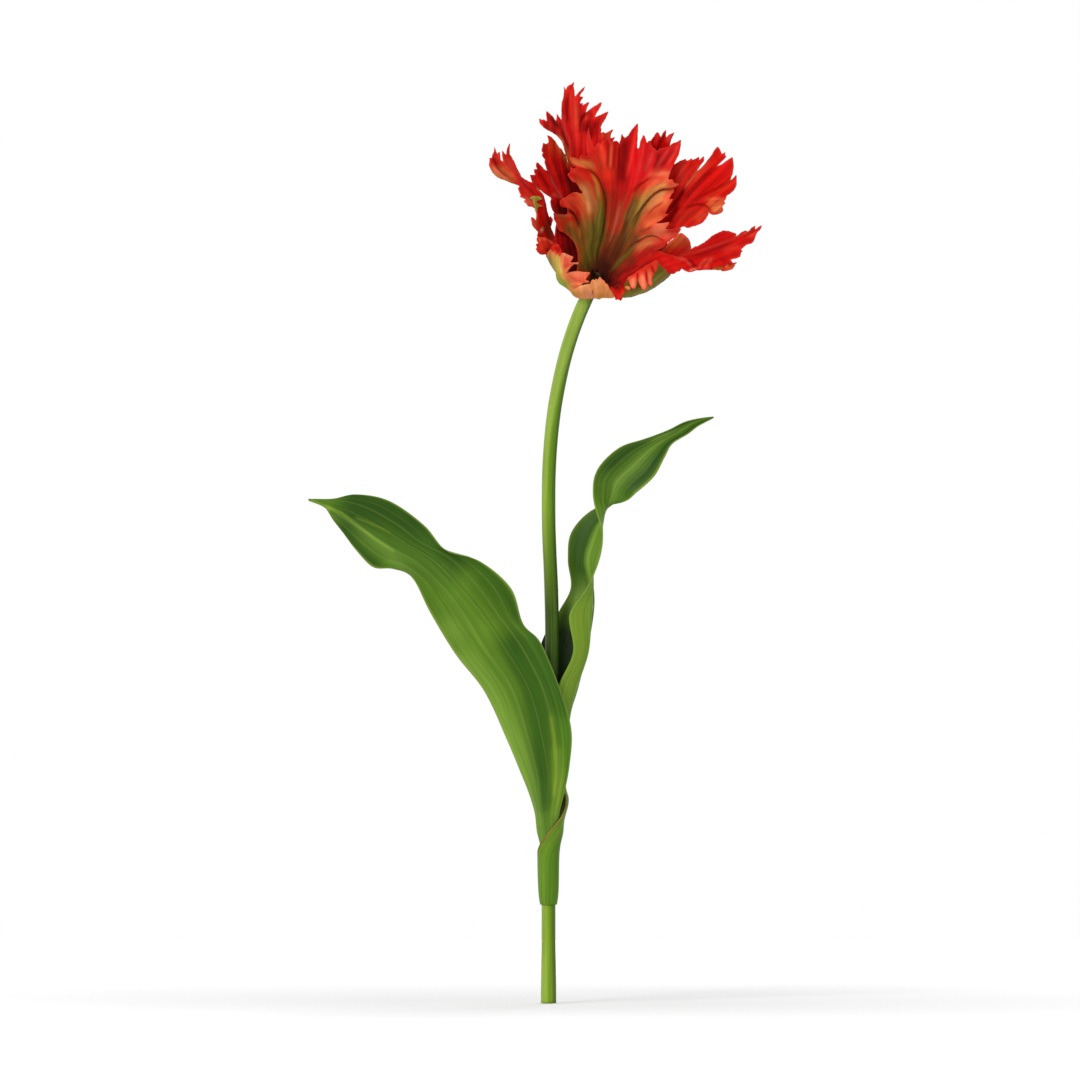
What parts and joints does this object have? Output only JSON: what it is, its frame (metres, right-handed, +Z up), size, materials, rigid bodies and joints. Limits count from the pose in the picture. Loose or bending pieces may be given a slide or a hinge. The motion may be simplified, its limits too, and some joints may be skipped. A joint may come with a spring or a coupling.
{
  "type": "artificial parrot tulip",
  "caption": "Artificial parrot tulip on a wired stem: open fringed flower with red, peach and green petals and two long twisted wired leaves.",
  "frame": {"origin": "centre of the stem's flat cut end", "axes": "+Z up along the lower stem, +X to the right of the open flower as the viewer sees it, +Y away from the viewer"},
  "size_m": [0.3023, 0.1003, 0.6165],
  "materials": {
    "stem_plastic": "satin",
    "leaf_fabric": "matte",
    "sheath_fabric": "matte",
    "red_fabric": "matte",
    "dark_red_fabric": "matte",
    "peach_fabric": "matte",
    "olive_fabric": "matte",
    "olive_plastic": "matte",
    "dark_plastic": "matte",
    "steel_wire": "satin"
  },
  "bodies": {
    "stem_base": {"stem_lower": "stem_plastic", "core_wire": "steel_wire", "stem_bend_zone": "stem_plastic", "left_leaf_clasp": "leaf_fabric", "left_leaf_bend_zone": "leaf_fabric", "right_leaf_sheath": "sheath_fabric", "right_leaf_bend_zone": "leaf_fabric"},
    "stem_middle": {"stem_middle": "stem_plastic", "neck_bend_zone": "stem_plastic"},
    "head": {"stem_top": "stem_plastic", "receptacle": "olive_plastic", "pistil": "olive_plastic", "stamen_1": "dark_plastic", "stamen_2": "dark_plastic", "stamen_3": "dark_plastic", "stamen_4": "dark_plastic", "stamen_5": "dark_plastic", "stamen_6": "dark_plastic", "petal_back_centre": "red_fabric", "petal_back_left": "red_fabric", "petal_back_right": "red_fabric", "petal_left_inner": "dark_red_fabric", "petal_left_outer": "red_fabric", "petal_right_upper": "red_fabric", "petal_right_lower": "red_fabric", "petal_front_left": "peach_fabric", "petal_front_centre": "peach_fabric", "petal_front_right": "olive_fabric"},
    "left_leaf": {"left_leaf_blade": "leaf_fabric", "left_leaf_wire": "steel_wire"},
    "right_leaf": {"right_leaf_blade": "leaf_fabric", "right_leaf_wire": "steel_wire"}
  },
  "joints": [
    {"name": "stem_bend", "type": "hinge", "parent": "stem_base", "child": "stem_middle", "pos_m": [0.00088, 0, 0.3], "axis": [0, 1, 0], "range_deg": [-15, 15], "deforming": ["stem_bend_zone", "core_wire"]},
    {"name": "neck_bend", "type": "hinge", "parent": "stem_middle", "child": "head", "pos_m": [0.00428, -0.0035, 0.39967], "axis": [1, 0, 0], "range_deg": [-20, 20], "deforming": ["neck_bend_zone", "core_wire"]},
    {"name": "left_leaf_bend", "type": "hinge", "parent": "stem_base", "child": "left_leaf", "pos_m": [-0.00102, -0.00959, 0.13781], "axis": [0, 1, 0], "range_deg": [-15, 8], "deforming": ["left_leaf_bend_zone", "left_leaf_wire"]},
    {"name": "right_leaf_bend", "type": "hinge", "parent": "stem_base", "child": "right_leaf", "pos_m": [0.01037, 0.00432, 0.15632], "axis": [0, 1, 0], "range_deg": [-2, 18], "deforming": ["right_leaf_bend_zone", "right_leaf_wire"]}
  ]
}
